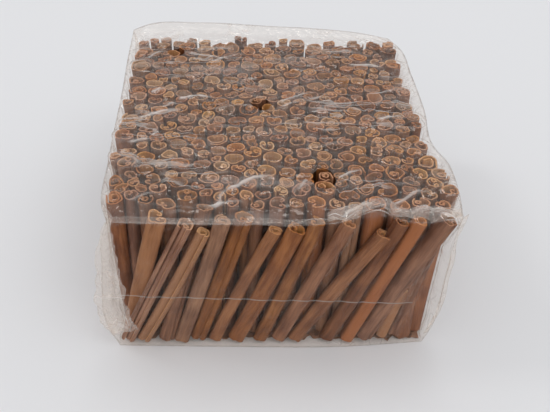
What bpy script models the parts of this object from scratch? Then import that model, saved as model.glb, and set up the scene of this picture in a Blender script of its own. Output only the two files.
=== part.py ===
"""A clear bag packed with upright cinnamon sticks, as one closed solid.

The bag stands on its flat bottom with the sticks' cut ends up. Its front is -Y and its right is +X.
The solid is the bag's loose outline, joined with the round backs of the outer sticks, which press the
film out, and with the stick ends that stand proud under the film on top.
"""
import math

import bmesh
import bpy
import numpy as np
from mathutils import Matrix, Vector

# Driving sizes of the whole, in metres
BAG_WIDTH = 0.196            # over the film, left to right
BAG_DEPTH = 0.212            # over the film, front to back
PACK_FRONT = -0.1015         # where the front row touches the film
PACK_BACK = 0.1015
PACK_SIDE = 0.0895           # half width of the packed sticks at their feet
LEFT_FLARE = 0.0045          # how far the sticks spread towards their tops, left
RIGHT_FLARE = 0.0070         # and right, where only the front third spreads
FLARE_START = -0.040         # depth at which that front third begins

# The sticks
STICK_LENGTH = 0.096         # the common cut length
STICK_COUNT = 356
THINNEST_STICK = 0.0032      # radius
THICKEST_STICK = 0.0073
LENGTH_SHORT = 0.004         # how far a stick may fall short of the common length
LENGTH_OVER = 0.002          # or pass it
LEAN_SPREAD = math.radians(3.2)
FOOT_HEIGHT = 0.0012         # the sticks' feet stand on the bag's bottom seam
OUTER_BAND = 0.0035          # a stick this near the film shows its whole back
OUTER_SIDES = 9
INNER_SIDES = 7
LEAST_RISE = 0.0008          # an end is raised where it stands this far above the film
END_DEPTH = 0.008            # how deep a raised end reaches into the solid

# How the sticks settle against each other
TOUCH_GAP = 0.0003           # left between neighbouring sticks
MOST_GROWTH = 1.15           # how much a stick may thicken to fill its place
NEAR = 0.030                 # sticks whose middles are this close can touch
LEVELS = (0.0, 0.4, 0.75, 0.92, 1.0)
SETTLING_ROUNDS = 600
SETTLING_STEP = 0.25
LOOSE_REACH = 1.3            # sticks this many times their reach apart still press a little
LOOSE_PRESS = 0.04
LEAN_HOLD = 0.02             # how firmly a stick keeps its lean
ROW_HOLD = 0.1               # how firmly the front row keeps its place
SEED = 11

# The film
FILM_TOP = 0.0938            # film between the stick ends
CREASE_HEIGHT = 0.0965       # the fold along the top front edge
RIDGE_HEIGHT = 0.1045        # the film that stands up along the back edge
SIDE_DIP = 0.0030            # how far the top dips along its sides
PROUD = 0.0022               # how far the outer sticks' backs press out between the tents
CORNER = 0.10                # the upright corners' rounding, as a share of half the width
FRONT_LEFT_TENT = 0.0055     # how far the film hangs clear of the sticks at the front left
LEFT_TENT = 0.0045           # and along the top of the left side
RIGHT_FOLD = 0.0048          # the slack folds that slant down the right side
RIGHT_TENT = 0.0020
FRONT_TENT = 0.0065          # under the crease
FOOT_TENT = 0.0035           # along the foot of the front
BACK_TENT = 0.0060

# Grid lines of the bag's faces, from -1 to 1 across, along and up
BAG_CUTS = (
    (-0.96, -0.90, -0.60, -0.20, 0.20, 0.50, 0.75, 0.90, 0.96),
    (-0.96, -0.90, -0.70, -0.50, -0.30, 0.00, 0.40, 0.75, 0.90, 0.96),
    (-0.80, -0.50, -0.20, 0.10, 0.40, 0.60, 0.80, 0.93),
)

# The leaning front row, in millimetres: foot and head along X, how far each lies behind the film,
# radius and head height
FRONT_ROW = (
    (-84, -62, 9, 1, 5.2, 90), (-85, -49, 0, 0, 4.6, 88), (-76, -39, 1, 0, 3.9, 84),
    (-63, -40, 0, 8, 4.3, 91), (-53, -29, 0, 3, 4.0, 92), (-43, -18, 1, 0, 6.2, 92),
    (-36, -2, 8, 0, 4.6, 85), (-22, 9, 0, 0, 4.8, 86), (-8, 20, 0, 2, 4.6, 91),
    (3, 37, 1, 2, 4.4, 90), (12, 56, 0, 0, 4.3, 83), (31, 63, 0, 9, 4.4, 91),
    (43, 73, 3, 5, 4.3, 92), (53, 88, 0, 0, 5.6, 92),
)


def ease(value):
    """A smooth step from 0 to 1."""
    value = np.clip(value, 0.0, 1.0)
    return value * value * (3.0 - 2.0 * value)


def pack_sides(depth, rise):
    """Left and right limits of the packed sticks, from their feet (rise 0) to their tops (rise 1)."""
    left = -PACK_SIDE - rise * LEFT_FLARE * ease((depth - PACK_FRONT) / 0.06)
    right = PACK_SIDE + rise * RIGHT_FLARE * ease((FLARE_START - depth) / 0.012)
    return left, right


def first_places(rng):
    """Feet, heads, radii and top heights before the sticks are pushed together."""
    row = np.array(FRONT_ROW) / 1000.0
    row_radius = row[:, 4]
    front_foot = np.stack([row[:, 0], PACK_FRONT + row_radius + row[:, 2]], axis=1)
    front_head = np.stack([row[:, 1], PACK_FRONT + row_radius + row[:, 3]], axis=1)

    count = STICK_COUNT - len(row)
    radius = THINNEST_STICK + (THICKEST_STICK - THINNEST_STICK) * rng.beta(1.8, 2.3, count)
    width = 2.0 * PACK_SIDE
    depth = PACK_BACK - PACK_FRONT - 2.0 * row_radius.mean()
    columns = round(math.sqrt(count * width / depth))
    rows = math.ceil(count / columns)
    index = np.arange(count)
    across = ((index % columns) + 0.5 + 0.5 * ((index // columns) % 2)) / (columns + 0.5)
    along = (index // columns + 0.5) / rows
    middle = np.stack([(across - 0.5) * width, PACK_BACK - depth * (1.0 - along)], axis=1)
    middle += rng.normal(0.0, THINNEST_STICK / 2.0, (count, 2))
    lean = STICK_LENGTH * np.sin(rng.normal(0.0, LEAN_SPREAD, (count, 2)))
    top = STICK_LENGTH + rng.uniform(-LENGTH_SHORT, LENGTH_OVER, count)

    foot = np.concatenate([front_foot, middle - lean / 2.0])
    head = np.concatenate([front_head, middle + lean / 2.0])
    return foot, head, np.concatenate([row_radius, radius]), np.concatenate([row[:, 5], top])


def stick_gaps(foot, head, one, two, rise):
    """From stick one to stick two at one height: the way apart, and the clear distance of their axes."""
    gap = (foot[two] - foot[one]) * (1.0 - rise) + (head[two] - head[one]) * rise
    slope = (head[one] - foot[one] + head[two] - foot[two]) / (2.0 * STICK_LENGTH)
    along = (gap * slope).sum(axis=1) / (1.0 + (slope ** 2).sum(axis=1))
    apart = gap - slope * along[:, None]
    far = np.sqrt(np.maximum((gap * apart).sum(axis=1), 1e-12))
    return apart / far[:, None], far


def neighbours(foot, head):
    """Pairs of sticks that stand near each other."""
    middle = (foot + head) / 2.0
    near = np.linalg.norm(middle[:, None] - middle[None], axis=2) < NEAR
    return np.nonzero(np.triu(near, 1))


def is_outer(foot, head, radius):
    """The sticks whose backs lie against the film."""
    middle = (foot + head) / 2.0
    left, right = pack_sides(middle[:, 1], 0.5)
    room = np.stack([middle[:, 0] - left, right - middle[:, 0],
                     middle[:, 1] - PACK_FRONT, PACK_BACK - middle[:, 1]])
    return room.min(axis=0) < radius + OUTER_BAND


def fitted_radius(foot, head, radius):
    """Each stick as thick as its place allows: outer sticks all along, inner ones near their tops."""
    one, two = neighbours(foot, head)
    outer = is_outer(foot, head, radius)
    both_outer = outer[one] & outer[two]
    room = np.full(len(radius), MOST_GROWTH)
    for rise in np.linspace(0.0, 1.0, 17):
        far = stick_gaps(foot, head, one, two, rise)[1]
        fit = (far - TOUCH_GAP) / (radius[one] + radius[two])
        fit[~both_outer & (rise < 0.88)] = MOST_GROWTH
        np.minimum.at(room, one, fit)
        np.minimum.at(room, two, fit)
    return radius * room


def settled_sticks():
    """Sticks as straight rods, pushed apart at five levels until they lie against each other."""
    rng = np.random.default_rng(SEED)
    foot, head, radius, top = first_places(rng)
    row = len(FRONT_ROW)
    wanted = head - foot
    kept_foot = foot[:row, 0].copy()
    kept_head = head[:row, 0].copy()
    for turn in range(SETTLING_ROUNDS):
        if turn % 25 == 0:
            one, two = neighbours(foot, head)
        done = turn / SETTLING_ROUNDS
        press = LOOSE_PRESS * max(0.0, 1.0 - 1.5 * done)
        reach = radius[one] + radius[two] + TOUCH_GAP
        push_foot = np.zeros_like(foot)
        push_head = np.zeros_like(head)
        for rise in LEVELS:
            away, far = stick_gaps(foot, head, one, two, rise)
            squeeze = np.clip(reach - far, 0.0, None)
            squeeze += press * np.clip(LOOSE_REACH * reach - far, 0.0, None)
            push = away * (squeeze / 2.0)[:, None]
            shift = np.zeros_like(foot)
            np.add.at(shift, two, push)
            np.add.at(shift, one, -push)
            weight = (1.0 - rise) ** 2 + rise ** 2
            push_foot += shift * (1.0 - rise) / weight
            push_head += shift * rise / weight
        foot += SETTLING_STEP * push_foot
        head += SETTLING_STEP * push_head
        slack = LEAN_HOLD * (1.0 - done) * (wanted - (head - foot)) / 2.0
        foot[row:] -= slack[row:]
        head[row:] += slack[row:]
        foot[:row, 0] += ROW_HOLD * (kept_foot - foot[:row, 0])
        head[:row, 0] += ROW_HOLD * (kept_head - head[:row, 0])
        for end, rise in ((foot, 0.0), (head, 1.0)):
            left, right = pack_sides(end[:, 1], rise)
            end[:, 0] = np.clip(end[:, 0], left + radius, right - radius)
            end[:, 1] = np.clip(end[:, 1], PACK_FRONT + radius, PACK_BACK - radius)
    radius = fitted_radius(foot, head, radius)
    return np.round(foot, 5), np.round(head, 5), np.round(radius, 5), np.round(top, 5)


def new_mesh_object(name, shape, collection):
    """An object in the given collection, made from a bmesh."""
    mesh = bpy.data.meshes.new(name)
    shape.to_mesh(mesh)
    shape.free()
    mesh.shade_smooth()
    mesh.set_sharp_from_angle(angle=math.radians(35.0))
    item = bpy.data.objects.new(name, mesh)
    collection.objects.link(item)
    return item


def round_corner(across, along):
    """Draw the square outline's four corners into quarter circles."""
    start = 1.0 - CORNER
    over = [max(0.0, abs(value) - start) for value in (across, along)]
    if min(over) > 0.0:
        pull = max(over) / math.hypot(*over)
        across = math.copysign(start + over[0] * pull, across)
        along = math.copysign(start + over[1] * pull, along)
    return across, along


def bag_point(across, along, rise):
    """Where a point of the plain box lies on the slack bag."""
    depth = along * PACK_BACK
    left, right = pack_sides(depth, rise)
    half_width = (right if across > 0.0 else -left) - PROUD
    half_depth = PACK_BACK - PROUD
    front = ease((-0.55 - along) / 0.45)

    # The film hangs clear of the sticks in tents: at the front left, all down the right, at the back
    if across < 0.0:
        half_width += FRONT_LEFT_TENT * front * ease((rise - 0.25) / 0.4)
        half_width += LEFT_TENT * ease((rise - 0.55) / 0.45)
    else:
        fold = 0.5 + 0.5 * math.sin(11.0 * rise + 4.0 * along)
        half_width += RIGHT_FOLD * fold * ease(rise / 0.15) * (1.0 - 0.6 * front)
        half_width += RIGHT_TENT * ease((rise - 0.75) / 0.25)
    if along < 0.0:
        half_depth += FRONT_TENT * ease((rise - 0.80) / 0.2) + FOOT_TENT * ease((0.16 - rise) / 0.16)
    else:
        half_depth += BACK_TENT * ease((rise - 0.35) / 0.65)

    # The top dips towards the sides, folds sharply along the front and stands up along the back
    side = ease((abs(across) - 0.90) / 0.1)
    top = FILM_TOP - SIDE_DIP * side
    top += (CREASE_HEIGHT - FILM_TOP) * ease((-0.90 - along) / 0.1)
    ridge_run = 0.35 + 0.65 * ease((0.75 - across) / 0.35)
    top += (RIDGE_HEIGHT - top) * ridge_run * ease((along - 0.93) / 0.07)

    across, along = round_corner(across, along)
    return Vector((across * half_width, along * half_depth, rise * top))


def slack_bag(collection):
    """The bag's outline: a gridded box drawn in and out to the film's own shape."""
    shape = bmesh.new()
    bmesh.ops.create_cube(shape, size=2.0)
    for axis, cuts in enumerate(BAG_CUTS):
        for cut in cuts:
            place = Vector((0.0, 0.0, 0.0))
            place[axis] = cut
            normal = Vector((0.0, 0.0, 0.0))
            normal[axis] = 1.0
            everything = shape.verts[:] + shape.edges[:] + shape.faces[:]
            bmesh.ops.bisect_plane(shape, geom=everything, dist=1e-6, plane_co=place, plane_no=normal)
    floor = [face for face in shape.faces if face.normal.z < -0.5]
    bmesh.ops.dissolve_faces(shape, faces=floor)
    for corner in shape.verts:
        across, along, height = corner.co
        corner.co = bag_point(across, along, (height + 1.0) / 2.0)
    spans = [[corner.co[axis] for corner in shape.verts] for axis in range(2)]
    scale = [size / (max(span) - min(span)) for size, span in zip((BAG_WIDTH, BAG_DEPTH), spans)]
    shift = [-(max(span) + min(span)) / 2.0 for span in spans]
    for corner in shape.verts:
        corner.co.x = (corner.co.x + shift[0]) * scale[0]
        corner.co.y = (corner.co.y + shift[1]) * scale[1]
    bmesh.ops.triangulate(shape, faces=shape.faces[:])
    return new_mesh_object("stick_bundle", shape, collection)


def add_rod(shape, low, high, radius, sides):
    """A closed round rod between two points."""
    run = high - low
    turn = Vector((0.0, 0.0, 1.0)).rotation_difference(run).to_matrix().to_4x4()
    place = Matrix.Translation((low + high) / 2.0) @ turn
    bmesh.ops.create_cone(shape, cap_ends=True, segments=sides, radius1=radius, radius2=radius,
                          depth=run.length, matrix=place)


def stick_backs(collection):
    """The sticks that stand out of the bag's outline: outer ones whole, inner ones by their ends."""
    foot, head, radius, top = settled_sticks()
    outer = is_outer(foot, head, radius)
    shape = bmesh.new()
    for start, finish, thick, height, whole in zip(foot, head, radius, top, outer):
        slant = np.linalg.norm(finish - start) / STICK_LENGTH
        low = Vector((start[0], start[1], FOOT_HEIGHT + slant * thick))
        high = Vector((finish[0], finish[1], height))
        if whole:
            add_rod(shape, low, high, thick, OUTER_SIDES)
        elif height > FILM_TOP + LEAST_RISE:
            buried = high + (low - high) * (END_DEPTH / STICK_LENGTH)
            add_rod(shape, buried, high, thick, INNER_SIDES)
    item = new_mesh_object("stick_backs", shape, collection)
    item.hide_render = True
    item.display_type = "WIRE"
    return item


def bark_material():
    """Dry cinnamon bark, seen through the film."""
    material = bpy.data.materials.new("cinnamon_bark")
    material.use_nodes = True
    shader = material.node_tree.nodes["Principled BSDF"]
    shader.inputs["Base Color"].default_value = (0.23, 0.12, 0.08, 1.0)
    shader.inputs["Roughness"].default_value = 0.6
    shader.inputs["Metallic"].default_value = 0.0
    return material


for old in list(bpy.data.objects):
    bpy.data.objects.remove(old)

bundle_parts = bpy.data.collections.new("Cinnamon bundle")
joined_shapes = bpy.data.collections.new("Joined shapes")
bpy.context.scene.collection.children.link(bundle_parts)
bpy.context.scene.collection.children.link(joined_shapes)

bundle = slack_bag(bundle_parts)
bundle.data.materials.append(bark_material())
join = bundle.modifiers.new("Join sticks", "BOOLEAN")
join.operation = "UNION"
join.solver = "EXACT"
join.object = stick_backs(joined_shapes)
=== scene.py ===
import math

import bmesh
import bpy
import numpy as np
from mathutils import Matrix, Vector, noise


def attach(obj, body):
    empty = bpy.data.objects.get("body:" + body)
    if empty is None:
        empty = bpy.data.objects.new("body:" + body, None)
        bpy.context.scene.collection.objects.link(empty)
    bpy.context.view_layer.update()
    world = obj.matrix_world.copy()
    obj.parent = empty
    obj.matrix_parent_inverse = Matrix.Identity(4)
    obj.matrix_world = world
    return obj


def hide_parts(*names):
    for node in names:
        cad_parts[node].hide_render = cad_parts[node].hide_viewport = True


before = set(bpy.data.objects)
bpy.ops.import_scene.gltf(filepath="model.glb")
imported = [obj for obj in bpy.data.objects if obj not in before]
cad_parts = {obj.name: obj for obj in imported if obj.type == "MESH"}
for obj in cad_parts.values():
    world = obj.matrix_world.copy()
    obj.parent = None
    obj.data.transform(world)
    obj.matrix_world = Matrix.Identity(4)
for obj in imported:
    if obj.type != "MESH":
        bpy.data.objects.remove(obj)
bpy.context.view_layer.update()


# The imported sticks
# -----------------
# Rolls of dried bark, cut to one length and stood on end by hand until the bag is full. They lean on
# each other, and the last row at the front has slipped over to the right.

PACK_FRONT = -0.1015         # all sizes here are in metres
PACK_BACK = 0.1015
PACK_SIDE = 0.0895
LEFT_FLARE = 0.0045
RIGHT_FLARE = 0.0070
FLARE_START = -0.040
STICK_LENGTH = 0.096
STICK_COUNT = 356
THINNEST_STICK = 0.0032
THICKEST_STICK = 0.0073
LENGTH_SHORT = 0.004
LENGTH_OVER = 0.002
LEAN_SPREAD = math.radians(3.2)
FOOT_HEIGHT = 0.0012
OUTER_BAND = 0.0035
TOUCH_GAP = 0.0003
MOST_GROWTH = 1.15
NEAR = 0.030
NO_NEIGHBOUR = 1.0
SHOWN_FROM = 0.88            # how far up the inner sticks show, as a share of their length
SWELL_WAYS = 24
LEAST_SWELL = 0.97
MOST_SWELL = 1.45
KNOCKED_LEVEL = 0.55         # how far the inner sticks' tops were knocked down or pulled up to one height
BOW_SPREAD = 0.0007
MOST_BOW = 0.0010
LEVELS = (0.0, 0.4, 0.75, 0.92, 1.0)
SETTLING_ROUNDS = 600
ROUNDS_PER_PAIRING = 25      # settling rounds between two searches for neighbours
SETTLING_STEP = 0.25
LOOSE_REACH = 1.3
LOOSE_PRESS = 0.04
LEAN_HOLD = 0.02
ROW_HOLD = 0.1

# The front row, in millimetres: foot and head along X, how far each lies behind the film, radius and
# head height
FRONT_ROW = (
    (-84, -62, 9, 1, 5.2, 90), (-85, -49, 0, 0, 4.6, 88), (-76, -39, 1, 0, 3.9, 84),
    (-63, -40, 0, 8, 4.3, 91), (-53, -29, 0, 3, 4.0, 92), (-43, -18, 1, 0, 6.2, 92),
    (-36, -2, 8, 0, 4.6, 85), (-22, 9, 0, 0, 4.8, 86), (-8, 20, 0, 2, 4.6, 91),
    (3, 37, 1, 2, 4.4, 90), (12, 56, 0, 0, 4.3, 83), (31, 63, 0, 9, 4.4, 91),
    (43, 73, 3, 5, 4.3, 92), (53, 88, 0, 0, 5.6, 92),
)


def ease(value):
    """A smooth step from 0 to 1."""
    value = np.clip(value, 0.0, 1.0)
    return value * value * (3.0 - 2.0 * value)


def pack_sides(depth, rise):
    """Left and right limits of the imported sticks, from their feet (rise 0) to their tops (rise 1)."""
    left = -PACK_SIDE - rise * LEFT_FLARE * ease((depth - PACK_FRONT) / 0.06)
    right = PACK_SIDE + rise * RIGHT_FLARE * ease((FLARE_START - depth) / 0.012)
    return left, right


def first_places(rng):
    """Feet, heads, radii and top heights before the sticks are pushed together."""
    row = np.array(FRONT_ROW) / 1000.0
    row_radius = row[:, 4]
    front_foot = np.stack([row[:, 0], PACK_FRONT + row_radius + row[:, 2]], axis=1)
    front_head = np.stack([row[:, 1], PACK_FRONT + row_radius + row[:, 3]], axis=1)

    count = STICK_COUNT - len(row)
    radius = THINNEST_STICK + (THICKEST_STICK - THINNEST_STICK) * rng.beta(1.8, 2.3, count)
    width = 2.0 * PACK_SIDE
    depth = PACK_BACK - PACK_FRONT - 2.0 * row_radius.mean()
    columns = round(math.sqrt(count * width / depth))
    rows = math.ceil(count / columns)
    index = np.arange(count)
    across = ((index % columns) + 0.5 + 0.5 * ((index // columns) % 2)) / (columns + 0.5)
    along = (index // columns + 0.5) / rows
    middle = np.stack([(across - 0.5) * width, PACK_BACK - depth * (1.0 - along)], axis=1)
    middle += rng.normal(0.0, THINNEST_STICK / 2.0, (count, 2))
    lean = STICK_LENGTH * np.sin(rng.normal(0.0, LEAN_SPREAD, (count, 2)))
    top = STICK_LENGTH + rng.uniform(-LENGTH_SHORT, LENGTH_OVER, count)

    foot = np.concatenate([front_foot, middle - lean / 2.0])
    head = np.concatenate([front_head, middle + lean / 2.0])
    return foot, head, np.concatenate([row_radius, radius]), np.concatenate([row[:, 5], top])


def stick_gaps(foot, head, one, two, rise):
    """From stick one to stick two at one height: the way apart, and the clear distance of their axes."""
    gap = (foot[two] - foot[one]) * (1.0 - rise) + (head[two] - head[one]) * rise
    slope = (head[one] - foot[one] + head[two] - foot[two]) / (2.0 * STICK_LENGTH)
    along = (gap * slope).sum(axis=1) / (1.0 + (slope ** 2).sum(axis=1))
    apart = gap - slope * along[:, None]
    far = np.sqrt(np.maximum((gap * apart).sum(axis=1), 1e-12))
    return apart / far[:, None], far


def neighbours(foot, head):
    """Pairs of sticks that stand near each other."""
    middle = (foot + head) / 2.0
    near = np.linalg.norm(middle[:, None] - middle[None], axis=2) < NEAR
    return np.nonzero(np.triu(near, 1))


def is_outer(foot, head, radius):
    """The sticks whose backs lie against the film."""
    middle = (foot + head) / 2.0
    left, right = pack_sides(middle[:, 1], 0.5)
    room = np.stack([middle[:, 0] - left, right - middle[:, 0],
                     middle[:, 1] - PACK_FRONT, PACK_BACK - middle[:, 1]])
    return room.min(axis=0) < radius + OUTER_BAND


def fitted_radius(foot, head, radius):
    """Each stick as thick as its place allows: outer sticks all along, inner ones near their tops."""
    one, two = neighbours(foot, head)
    outer = is_outer(foot, head, radius)
    both_outer = outer[one] & outer[two]
    room = np.full(len(radius), MOST_GROWTH)
    for rise in np.linspace(0.0, 1.0, 17):
        far = stick_gaps(foot, head, one, two, rise)[1]
        fit = (far - TOUCH_GAP) / (radius[one] + radius[two])
        fit[~both_outer & (rise < SHOWN_FROM)] = MOST_GROWTH
        np.minimum.at(room, one, fit)
        np.minimum.at(room, two, fit)
    return radius * room


def settled_sticks():
    """Sticks as straight rods, pushed apart at five levels until they lie against each other."""
    rng = np.random.default_rng(11)
    foot, head, radius, top = first_places(rng)
    row = len(FRONT_ROW)
    wanted = head - foot
    kept_foot = foot[:row, 0].copy()
    kept_head = head[:row, 0].copy()
    for turn in range(SETTLING_ROUNDS):
        if turn % ROUNDS_PER_PAIRING == 0:
            one, two = neighbours(foot, head)
        done = turn / SETTLING_ROUNDS
        press = LOOSE_PRESS * max(0.0, 1.0 - 1.5 * done)
        reach = radius[one] + radius[two] + TOUCH_GAP
        push_foot = np.zeros_like(foot)
        push_head = np.zeros_like(head)
        for rise in LEVELS:
            away, far = stick_gaps(foot, head, one, two, rise)
            squeeze = np.clip(reach - far, 0.0, None)
            squeeze += press * np.clip(LOOSE_REACH * reach - far, 0.0, None)
            push = away * (squeeze / 2.0)[:, None]
            shift = np.zeros_like(foot)
            np.add.at(shift, two, push)
            np.add.at(shift, one, -push)
            weight = (1.0 - rise) ** 2 + rise ** 2
            push_foot += shift * (1.0 - rise) / weight
            push_head += shift * rise / weight
        foot += SETTLING_STEP * push_foot
        head += SETTLING_STEP * push_head
        slack = LEAN_HOLD * (1.0 - done) * (wanted - (head - foot)) / 2.0
        foot[row:] -= slack[row:]
        head[row:] += slack[row:]
        foot[:row, 0] += ROW_HOLD * (kept_foot - foot[:row, 0])
        head[:row, 0] += ROW_HOLD * (kept_head - head[:row, 0])
        for end, rise in ((foot, 0.0), (head, 1.0)):
            left, right = pack_sides(end[:, 1], rise)
            end[:, 0] = np.clip(end[:, 0], left + radius, right - radius)
            end[:, 1] = np.clip(end[:, 1], PACK_FRONT + radius, PACK_BACK - radius)
    radius = fitted_radius(foot, head, radius)
    return np.round(foot, 5), np.round(head, 5), np.round(radius, 5), np.round(top, 5)


def swollen_reach(foot, head, radius):
    """How far each soft roll bulges every way, to fill the room that its round neighbours leave."""
    angle = np.arange(SWELL_WAYS) * 2.0 * math.pi / SWELL_WAYS
    way = np.stack([np.cos(angle), np.sin(angle)], axis=1)
    reach = np.repeat(MOST_SWELL * radius[:, None], SWELL_WAYS, axis=1)
    one, two = neighbours(foot, head)
    one, two = np.concatenate([one, two]), np.concatenate([two, one])
    outer = is_outer(foot, head, radius)
    both_outer = outer[one] & outer[two]
    for rise in np.linspace(0.0, 1.0, 9):
        middle = foot * (1.0 - rise) + head * rise
        gap = middle[two] - middle[one]
        thicker = radius[two] - radius[one]
        toward = gap @ way.T + thicker[:, None]
        meet = ((gap ** 2).sum(axis=1) - thicker ** 2)[:, None] / np.maximum(2.0 * toward, 1e-6)
        meet[~both_outer & (rise < SHOWN_FROM)] = NO_NEIGHBOUR
        np.minimum.at(reach, one, meet - TOUCH_GAP / 2.0)
        left, right = pack_sides(middle[:, 1], rise)
        for wall, toward_film in ((middle[:, 0] - left, (-1, 0)), (right - middle[:, 0], (1, 0)),
                                  (middle[:, 1] - PACK_FRONT, (0, -1)), (PACK_BACK - middle[:, 1], (0, 1))):
            against = (way @ np.array(toward_film))[None] * np.ones((len(radius), 1))
            room = radius[:, None] / np.maximum(against, 1e-3)
            beside = (wall < radius + OUTER_BAND)[:, None] & (against > 0.0)
            reach = np.where(beside, np.minimum(reach, room), reach)
    reach = np.maximum(reach, LEAST_SWELL * radius[:, None])
    for turn in range(2):
        reach = (np.roll(reach, 1, axis=1) + 2.0 * reach + np.roll(reach, -1, axis=1)) / 4.0
    return reach


foot, head, stick_radius, top = settled_sticks()
outer_stick = is_outer(foot, head, stick_radius)
slant = np.linalg.norm(head - foot, axis=1) / STICK_LENGTH
stick_reach = swollen_reach(foot, head, stick_radius)
stick_low = np.column_stack([foot, FOOT_HEIGHT + slant * stick_radius])
level_top = np.where(outer_stick, top, KNOCKED_LEVEL * np.median(top) + (1.0 - KNOCKED_LEVEL) * top)
stick_high = np.column_stack([head, level_top])
stick_bow = np.random.default_rng(5).normal(0.0, BOW_SPREAD, (len(top), 2))
stick_bow = np.clip(stick_bow, -MOST_BOW, MOST_BOW)

# Broken lengths fill the corner under the last leaning stick, in millimetres: foot, head and radius
BROKEN = (
    ((63.5, -96.6, 4.9), (71.4, -95.8, 41.0), 3.6),
    ((70.5, -95.6, 4.3), (87.7, -89.7, 77.0), 3.0),
)
for low, high, thick in BROKEN:
    stick_low = np.vstack([stick_low, np.array(low) / 1000.0])
    stick_high = np.vstack([stick_high, np.array(high) / 1000.0])
    stick_radius = np.append(stick_radius, thick / 1000.0)
    stick_reach = np.vstack([stick_reach, np.full(SWELL_WAYS, thick / 1000.0)])
    stick_bow = np.vstack([stick_bow, (0.0, 0.0)])


# Bark finishes
# -------------
# Cassia bark dried in the shade: a tan to red-brown outside with fine fibres along the stick, a darker
# red inside, and a paler orange face where the saw has cut through the roll.

def node_adder(material):
    """A function that adds a node to the material, with its inputs wired or set, and gives its outputs."""
    def add(kind, inputs=(), **settings):
        node = material.node_tree.nodes.new(kind)
        for label, value in settings.items():
            setattr(node, label, value)
        for socket, value in inputs:
            if isinstance(value, bpy.types.NodeSocket):
                material.node_tree.links.new(value, node.inputs[socket])
            else:
                node.inputs[socket].default_value = value
        return node.outputs

    return add


def math_adder(add):
    """A function that adds a step of arithmetic and gives its result."""
    def worked(operation, *values, clamp=False):
        return add("ShaderNodeMath", tuple(enumerate(values)), operation=operation, use_clamp=clamp)[0]

    return worked


def tone_ramp(add, amount, first, last, *between):
    """Colours by amount: each tone is a place on the ramp and its colour."""
    ramp = add("ShaderNodeValToRGB", (("Fac", amount),))
    elements = ramp[0].node.color_ramp.elements
    for element, (place, colour) in zip(elements, (first, last)):
        element.position = place
        element.color = (*colour, 1.0)
    for place, colour in between:
        elements.new(place).color = (*colour, 1.0)
    return ramp["Color"]


def bark_material(name, dark, middle, light, fibre_depth, roughness):
    """Fibres run along the stick; each stick has its own tone, stains and lighter patches, its tone raised
    by its group's painted light lift.
    """
    material = bpy.data.materials.new(name)
    material.use_nodes = True
    shader, links = material.node_tree.nodes["Principled BSDF"], material.node_tree.links
    shader.inputs["Roughness"].default_value = roughness
    shader.inputs["Specular IOR Level"].default_value = 0.35
    add = node_adder(material)
    worked = math_adder(add)

    def attribute(label):
        return add("ShaderNodeAttribute", attribute_name=label)["Fac"]

    def bark_noise(across_scale, along_scale, detail, offset):
        place = add("ShaderNodeCombineXYZ", ((0, worked("MULTIPLY", attribute("across"), across_scale)),
                                             (1, worked("MULTIPLY", attribute("along"), along_scale)),
                                             (2, worked("MULTIPLY", attribute("own"), 37.0 + offset))))[0]
        return add("ShaderNodeTexNoise", (("Vector", place), ("Scale", 1.0), ("Detail", detail)))["Fac"]

    fibres = bark_noise(1900.0, 110.0, 4.0, 0.0)
    streaks = bark_noise(480.0, 34.0, 3.0, 5.0)
    patches = bark_noise(120.0, 55.0, 4.0, 11.0)
    shade = worked("MULTIPLY_ADD", fibres, 0.60, -0.99)
    shade = worked("MULTIPLY_ADD", streaks, 0.80, shade)
    shade = worked("MULTIPLY_ADD", patches, 0.95, shade)
    shade = worked("MULTIPLY_ADD", attribute("tone"), 0.60, shade)
    bark = tone_ramp(add, shade, (0.12, dark), (0.88, light), (0.50, middle))
    redder = add("ShaderNodeMix", ((0, attribute("warmth")), (6, bark), (7, (1.00, 0.78, 0.88, 1.0))),
                 data_type="RGBA", blend_type="MULTIPLY")[2]
    saturation = worked("MULTIPLY_ADD", attribute("own"), 0.30, 0.84)
    duller = add("ShaderNodeHueSaturation", (("Saturation", saturation), ("Color", redder)))["Color"]
    links.new(duller, shader.inputs["Base Color"])
    grain = add("ShaderNodeBump", (("Height", worked("ADD", fibres, streaks)), ("Distance", fibre_depth),
                                   ("Strength", 0.8)))["Normal"]
    links.new(grain, shader.inputs["Normal"])
    return material


outer_bark = bark_material("outer_bark", (0.220, 0.086, 0.030), (0.480, 0.240, 0.092),
                           (0.680, 0.400, 0.170), 0.00025, 0.62)
inner_bark = bark_material("inner_bark", (0.070, 0.023, 0.010), (0.190, 0.078, 0.032),
                           (0.330, 0.155, 0.066), 0.00020, 0.66)
cut_bark = bark_material("cut_bark", (0.220, 0.082, 0.030), (0.440, 0.200, 0.080),
                         (0.640, 0.360, 0.160), 0.00015, 0.72)


# Quills
# ------
# Each stick is one or two sheets of bark that rolled up as they dried: from both edges into a double
# scroll, from one edge into a single one, or into a ring with one or two smaller quills pushed inside.

BODY = "root"
NODE = "stick_bundle"
SHEET_EDGE = (math.radians(12.0), 0.0)      # the edge that a one-way scroll starts from hardly turns
DENT = 0.05
SMALL_DENT = 0.03
RAGGED = 0.0006                             # how rough the saw leaves a cut end
END_TILT = 0.055
TWIST = 0.05
TAPER = 0.05
UNSWOLLEN = np.ones(2)


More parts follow.
